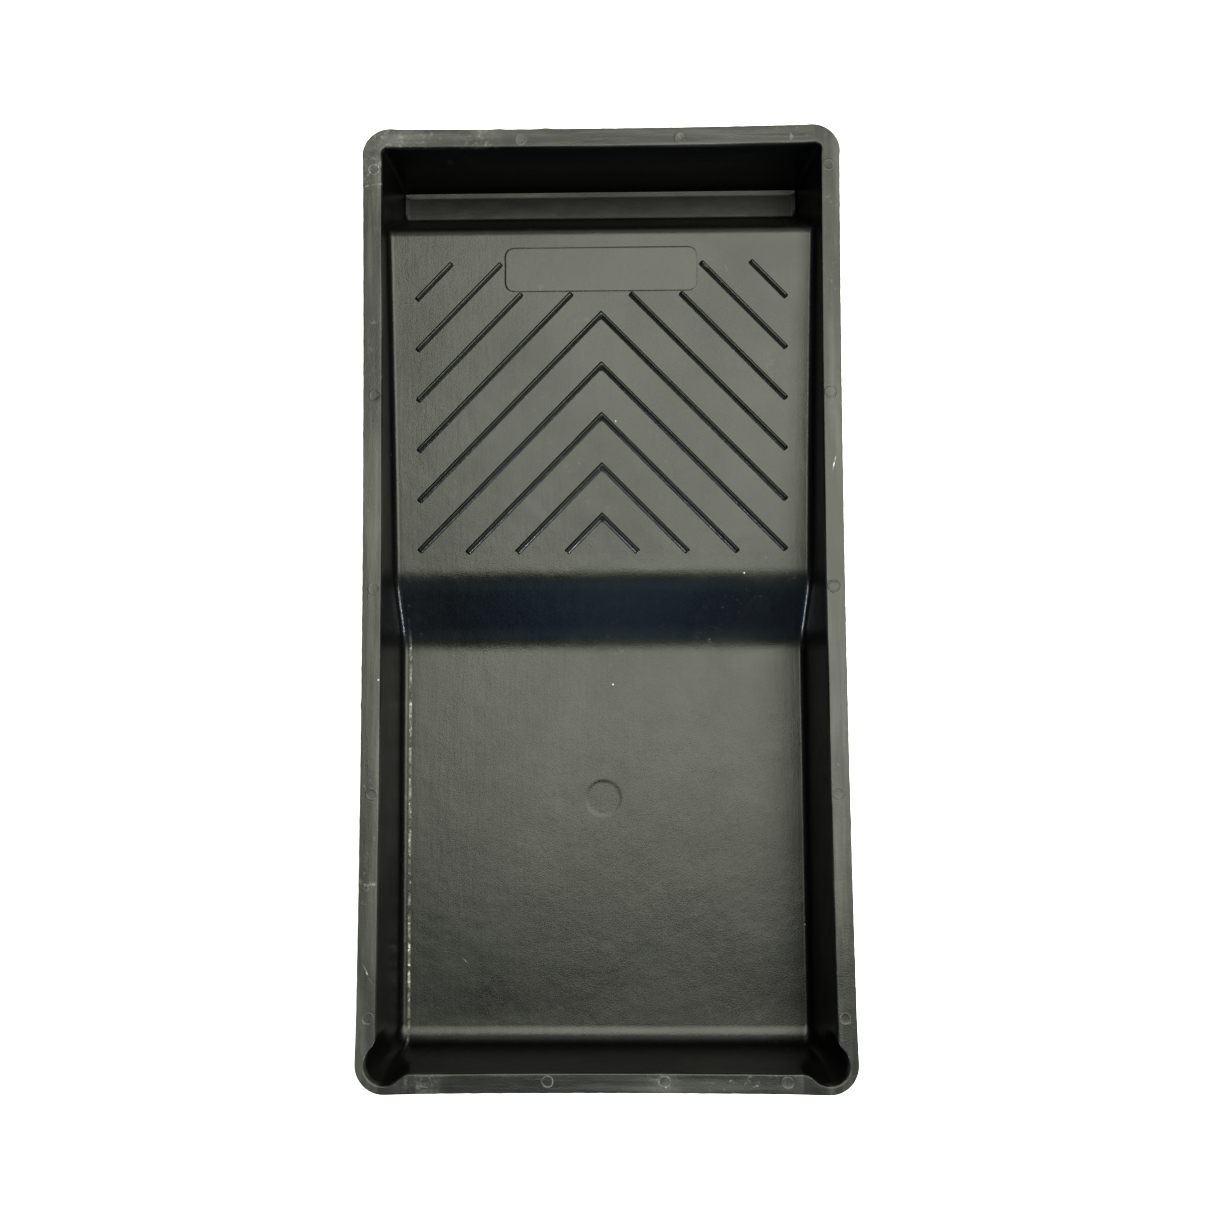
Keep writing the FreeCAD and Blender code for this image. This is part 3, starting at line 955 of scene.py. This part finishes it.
def on_rim_top(x, y, height):
    return RIM_TOP + rim_wave(np.column_stack([x, y])) + height


def on_ramp(x, y, height):
    return ramp_z(y) + waviness(x, y) + height


def build_pin_marks(materials):
    """The raised rings that the mould's ejector pins leave on the rim; their crests are scuffed."""
    spots = [(side * (SIDE_PIN_X - side_bow(y)), y) for side in (-1, 1) for y in SIDE_PIN_YS]
    spots += [(x, FRONT_PIN_Y + end_bow(x)) for x in FRONT_PIN_XS]
    spots += [(x, REAR_PIN_Y - end_bow(x)) for x in REAR_PIN_XS]
    vertices = []
    faces = []
    paint = []
    for index, (x, y) in enumerate(spots):
        circle = np.array(turn((0, 0), PIN_RADIUS, 0, 360, PIN_SIDES)[:-1])
        wobble = 1 + 0.03 * np.sin(3 * np.arctan2(circle[:, 1], circle[:, 0]) + index)
        outline = circle * wobble[:, None] + (x, y)
        profile = pin_profile(0.06 + 0.02 * math.sin(index * 2.1))
        ring, ring_faces = raised(outline, circle / PIN_RADIUS, profile, on_rim_top)
        faces += [[len(vertices) + corner for corner in face] for face in ring_faces]
        paint += [int(PIN_SIDES * 2 <= number < PIN_SIDES * 5) for number in range(len(ring_faces))]
        vertices += ring
    mesh = mesh_of("pin_marks", vertices, faces)
    mesh.polygons.foreach_set("material_index", paint)
    place(mesh, "visual_pin_marks", None, *materials)


def build_badge(material):
    low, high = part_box("badge_panel")
    x = high.x / MM
    y0, y1 = low.y / MM, high.y / MM
    corners = [(x, y1), (-x, y1), (-x, y0), (x, y0)]
    outline, directions = rounded_polygon(corners, BADGE_RADIUS, BADGE_CORNER_STEPS)
    mesh = mesh_of("badge_panel", *raised(outline, directions, BADGE_PROFILE, on_ramp))
    place(mesh, "visual_badge_panel", "badge_panel", material)


# -------- materials

def node_tree(name):
    material = bpy.data.materials.new(name)
    material.use_nodes = True
    tree = material.node_tree
    shader = tree.nodes["Principled BSDF"]
    return material, tree, shader


def add(tree, kind, inputs=(), **settings):
    node = tree.nodes.new(kind)
    for key, value in settings.items():
        setattr(node, key, value)
    for key, value in dict(inputs).items():
        if isinstance(value, bpy.types.NodeSocket):
            tree.links.new(value, node.inputs[key])
        else:
            node.inputs[key].default_value = value
    return node


def noise(tree, vector, scale, detail=2.0, rough=0.5):
    return add(tree, "ShaderNodeTexNoise", {"Vector": vector, "Scale": scale, "Detail": detail,
                                            "Roughness": rough}).outputs["Fac"]


def remap(tree, value, low, high, to_low=0.0, to_high=1.0):
    return add(tree, "ShaderNodeMapRange", {"Value": value, "From Min": low, "From Max": high,
                                            "To Min": to_low, "To Max": to_high}).outputs["Result"]


def combine(tree, operation, first, second, third=None):
    inputs = {0: first, 1: second}
    if third is not None:
        inputs[2] = third
    return add(tree, "ShaderNodeMath", inputs, operation=operation).outputs["Value"]


def spot(tree, vector, centre, reach):
    """One inside a soft ball round a point of the tray, falling to nothing at reach."""
    distance = add(tree, "ShaderNodeVectorMath", {0: vector, 1: centre}, operation="DISTANCE")
    return remap(tree, distance.outputs["Value"], reach * 0.3, reach, 1.0, 0.0)


# a thin pale line, used for scratches and for a painted highlight along a crease
def pale_line(tree, vector, centre, reach, direction, width):
    """One along a thin line through a point, fading away from it at reach."""
    apart = add(tree, "ShaderNodeVectorMath", {0: vector, 1: centre}, operation="SUBTRACT")
    inputs = {0: apart.outputs["Vector"], 1: direction}
    across = add(tree, "ShaderNodeVectorMath", inputs, operation="DOT_PRODUCT")
    offset = combine(tree, "ABSOLUTE", across.outputs["Value"], 0.0)
    line = remap(tree, offset, width * 0.4, width, 1.0, 0.0)
    return combine(tree, "MULTIPLY", line, spot(tree, vector, centre, reach))


def pale_marks(tree, at, drawn, specks, wear, streaks, places, scratches_and_highlights):
    """How pale the surface is, from 0 to 1: dust specks, streaks, scuffs, scratched lines and painted
    highlight lines along a crease.
    """
    streak = remap(tree, noise(tree, drawn, 260.0, 3.0, 0.6), 0.45, 0.75)

    cells = add(tree, "ShaderNodeTexVoronoi", {"Vector": at, "Scale": 110.0})
    dot = remap(tree, cells.outputs["Distance"], 0.02, 0.04, 1.0, 0.0)
    chosen = remap(tree, noise(tree, at, 70.0), 0.6, 0.62, 0.0, specks)
    speck = combine(tree, "MULTIPLY", dot, chosen)

    scuff_and_highlight = remap(tree, noise(tree, at, 330.0, 8.0, 0.78), 0.58, 0.72)
    worn = remap(tree, noise(tree, at, 38.0, 2.0), 0.50, 0.75, 0.02, 0.45)
    scuff_and_highlight = combine(tree, "MULTIPLY", scuff_and_highlight, combine(tree, "MULTIPLY", worn, wear))
    scuff_and_highlight = combine(tree, "MULTIPLY_ADD", streak, streaks, scuff_and_highlight)

    flecks = remap(tree, noise(tree, at, 520.0, 6.0, 0.75), 0.54, 0.68)
    haze = remap(tree, noise(tree, at, 190.0, 7.0, 0.72), 0.42, 0.78)
    haze = combine(tree, "MULTIPLY_ADD", flecks, 0.9, combine(tree, "MULTIPLY", haze, 0.6))
    for centre, reach, amount in places:
        local = combine(tree, "MULTIPLY", spot(tree, at, centre, reach), amount)
        scuff_and_highlight = combine(tree, "MULTIPLY_ADD", local, haze, scuff_and_highlight)
    # thin pale lines: scratches, and on the panel a painted highlight along the well floor's left crease
    for centre, reach, direction, width in scratches_and_highlights:
        line = pale_line(tree, at, centre, reach, direction, width)
        scuff_and_highlight = combine(tree, "MULTIPLY_ADD", line, haze, scuff_and_highlight)
    total = combine(tree, "ADD", speck, scuff_and_highlight)
    return add(tree, "ShaderNodeClamp", {"Value": total}).outputs["Result"]


def relief(tree, at, drawn, grain):
    """The surface's normal: fine drawn grain over the soft ripple of a cooling moulding."""
    fine = combine(tree, "MULTIPLY_ADD", noise(tree, drawn, 900.0, 2.0), 0.7, noise(tree, at, 2400.0, 2.0))
    bump = add(tree, "ShaderNodeBump", {"Height": fine, "Strength": grain, "Distance": 0.00006})
    soft = combine(tree, "MULTIPLY_ADD", noise(tree, at, 230.0, 2.0), 0.3, noise(tree, at, 55.0, 2.0))
    ripple = add(tree, "ShaderNodeBump", {"Height": soft, "Strength": 1.0, "Distance": 0.00019,
                                          "Normal": bump.outputs["Normal"]})
    return ripple.outputs["Normal"]


def plastic(name, base, roughness, spread, grain, specks, wear, streaks, stretch=(1.0, 0.07, 1.0),
            places=(), scratches_and_highlights=()):
    """Black polypropylene off a polished mould: cloudy gloss, drawn grain, dust specks, pale scuffs,
    and thin pale lines that are scratches and, on the panel, a painted highlight along a crease.

    Each of places is (centre, reach, amount) of extra wear, and each thin line is (centre, reach,
    direction across the line, width), all in metres."""
    material, tree, shader = node_tree(name)
    at = add(tree, "ShaderNodeTexCoord").outputs["Object"]
    drawn = add(tree, "ShaderNodeMapping", {"Vector": at, "Scale": stretch}).outputs["Vector"]
    pale = pale_marks(tree, at, drawn, specks, wear, streaks, places, scratches_and_highlights)

    tint = add(tree, "ShaderNodeMix", {"Factor": pale}, data_type="RGBA")
    tint.inputs["A"].default_value = (*base, 1.0)
    tint.inputs["B"].default_value = PALE_SCUFF_AND_HIGHLIGHT
    tree.links.new(tint.outputs["Result"], shader.inputs["Base Color"])

    cloud = noise(tree, at, 32.0, 5.0, 0.6)
    gloss = remap(tree, cloud, 0.3, 0.7, roughness - spread, roughness + spread)
    gloss = combine(tree, "MULTIPLY_ADD", noise(tree, at, 9.0, 2.0), spread, gloss)
    gloss = combine(tree, "MULTIPLY_ADD", pale, 0.3, gloss)
    tree.links.new(gloss, shader.inputs["Roughness"])
    tree.links.new(relief(tree, at, drawn, grain), shader.inputs["Normal"])
    return material


BLACK = (0.0038, 0.0040, 0.0039)
RIM_BLACK = (0.0055, 0.0055, 0.0055)
PIN_BLACK = (0.014, 0.014, 0.014)
# the pale colour of scuffs and scratches, also used to paint a highlight along the well floor's left
# crease
PALE_SCUFF_AND_HIGHLIGHT = (0.42, 0.42, 0.40, 1.0)
ACROSS = (0.07, 1.0, 1.0)     # grain drawn along X; the default is along Y

# the first three entries are a painted highlight: pale lines along the left crease of the well floor,
# where it catches the light; the last entry is a short scratch
PANEL_SCRATCH_AND_CREASE_HIGHLIGHT = (
    *(((-0.0661, y, 0.002), 0.0320, (1.0, 0.0, 0.0), 0.0006) for y in (-0.122, -0.078, -0.036)),
    ((-0.0475, -0.120, 0.002), 0.0022, (0.7, 0.7, 0.0), 0.0002),
)
RIM_SCRATCHES = (
    ((-0.0742, 0.1343, 0.036), 0.0080, (-0.18, 0.98, 0.0), 0.0005),
    ((-0.0735, -0.1170, 0.036), 0.0035, (0.9, 0.43, 0.0), 0.0003),
    ((0.0735, 0.0420, 0.036), 0.0030, (0.97, -0.24, 0.0), 0.00025),
)
RIM_WEAR = (
    ((-0.0690, 0.1480, 0.036), 0.022, 0.20),
    ((-0.0400, 0.1490, 0.036), 0.009, 0.22),
    ((-0.0560, -0.1490, 0.036), 0.008, 0.12),
    ((0.0180, -0.1490, 0.036), 0.006, 0.12),
)
PIN_WEAR = (
    ((-0.0736, 0.1397, 0.036), 0.004, 0.75),
    ((-0.0180, -0.1491, 0.036), 0.004, 0.85),
    ((0.0180, -0.1491, 0.036), 0.004, 0.35),
    ((0.0736, -0.1303, 0.036), 0.004, 0.25),
)


def build_materials():
    rim = {"base": RIM_BLACK, "roughness": 0.30, "spread": 0.05, "grain": 0.9, "specks": 0.9, "wear": 1.0,
           "streaks": 0.08, "places": RIM_WEAR, "scratches_and_highlights": RIM_SCRATCHES}
    return {
        "panel": plastic("satin_panel", BLACK, 0.29, 0.045, 0.7, 0.9, 0.25, 0.004,
                         scratches_and_highlights=PANEL_SCRATCH_AND_CREASE_HIGHLIGHT),
        "rim_side": plastic("worn_side_rim", **rim),
        "rim_end": plastic("worn_end_rim", stretch=ACROSS, **rim),
        "rib": plastic("satin_rib", BLACK, 0.27, 0.03, 0.6, 0.5, 0.4, 0.0),
        "pin": plastic("scuffed_pin", PIN_BLACK, 0.33, 0.05, 0.9, 0.0, 1.2, 0.1, places=PIN_WEAR),
    }


# -------- stage, light and camera

def build_stage():
    """A plain pale floor, 3 m square."""
    mesh = bpy.data.meshes.new("floor")
    half = 1.5
    mesh.from_pydata([(-half, -half, 0), (half, -half, 0), (half, half, 0), (-half, half, 0)], [],
                     [(0, 1, 2, 3)])
    floor = bpy.data.objects.new("floor", mesh)
    bpy.context.scene.collection.objects.link(floor)
    material, _, shader = node_tree("pale_floor")
    shader.inputs["Base Color"].default_value = (0.88, 0.88, 0.87, 1.0)
    shader.inputs["Roughness"].default_value = 0.8
    shader.inputs["Specular IOR Level"].default_value = 0.1
    mesh.materials.append(material)


CEILING_LAYERS = 5
CEILING_RADIANCE = 22.5
CEILING_HEIGHT = 1.6
CEILING_COLOUR = (0.98, 1.0, 0.87)
# the other lights as (name, place, size, watts, colour), all aimed at the tray's origin
PANELS = (
    ("cool_fill", (0.05, -1.6, 0.55), (0.26, 0.7), 0.95, (0.3, 0.55, 1.0)),
    ("cool_sky", (0.05, -1.2, 1.15), (0.45, 0.6), 1.1, (0.4, 0.7, 1.0)),
    ("back_panel", (0.2, 1.7, 1.1), (2.2, 1.5), 8.0, (0.98, 1.0, 0.9)),
    ("low_panel_left", (-0.89, -1.13, 0.45), (0.32, 0.25), 10.5, (0.9, 0.95, 1.0)),
    ("low_panel_right", (0.89, -1.13, 0.45), (0.32, 0.25), 10.5, (0.9, 0.95, 1.0)),
)


def softbox(name, at, aim, size, power, colour):
    light = bpy.data.lights.new(name, "AREA")
    light.color = colour
    light.shape = "RECTANGLE"
    light.size, light.size_y = size
    light.energy = power
    holder = bpy.data.objects.new(name, light)
    bpy.context.scene.collection.objects.link(holder)
    holder.location = at
    direction = Vector(at) - Vector(aim)
    holder.rotation_euler = direction.to_track_quat("Z", "Y").to_euler()


def build_ceiling():
    """A broad light whose stacked layers fade it out, mostly to the front and the left."""
    for layer in range(CEILING_LAYERS):
        x0, x1 = 0.12 - 0.14 * layer, 1.00 + 0.06 * layer
        y0, y1 = 0.28 - 0.17 * layer, 0.70 + 0.05 * layer
        middle_x, middle_y = (x0 + x1) / 2, (y0 + y1) / 2
        power = CEILING_RADIANCE / CEILING_LAYERS * math.pi * (x1 - x0) * (y1 - y0)
        softbox("ceiling_%d" % layer, (middle_x, middle_y, CEILING_HEIGHT), (middle_x, middle_y, 0.0),
                (x1 - x0, y1 - y0), power, CEILING_COLOUR)


def build_lights():
    """The ceiling, the softer panels round it and a faint cool surround."""
    build_ceiling()
    for name, at, size, power, colour in PANELS:
        softbox(name, at, (0.0, 0.0, 0.0), size, power, colour)
    world = bpy.data.worlds.new("studio")
    world.use_nodes = True
    background = world.node_tree.nodes["Background"]
    background.inputs["Color"].default_value = (0.7, 0.84, 1.0, 1.0)
    background.inputs["Strength"].default_value = 0.055
    bpy.context.scene.world = world
    bpy.context.scene.view_settings.view_transform = "Standard"
    bpy.context.scene.view_settings.look = "High Contrast"


def build_camera():
    """The camera over the tray, a little in front of its middle and almost square to it."""
    data = bpy.data.cameras.new("camera")
    data.sensor_width = 36.0
    data.lens = 34.67
    data.shift_x = 0.0255
    data.shift_y = -0.0029
    data.clip_start = 0.01
    camera = bpy.data.objects.new("camera", data)
    bpy.context.scene.collection.objects.link(camera)
    pitch, roll, yaw = -0.07055, 0.00436, -0.01600
    view = Matrix.Rotation(roll, 4, "Z") @ Matrix.Rotation(pitch, 4, "X") @ Matrix.Rotation(yaw, 4, "Y")
    camera.matrix_world = Matrix.Translation((-0.00266, -0.02810, 0.40383)) @ view.transposed()
    bpy.context.scene.camera = camera


materials = build_materials()
build_moulding(materials)
build_ribs(materials["rib"])
build_badge(materials["rib"])
build_pin_marks((materials["rim_side"], materials["pin"]))
build_stage()
build_lights()
build_camera()
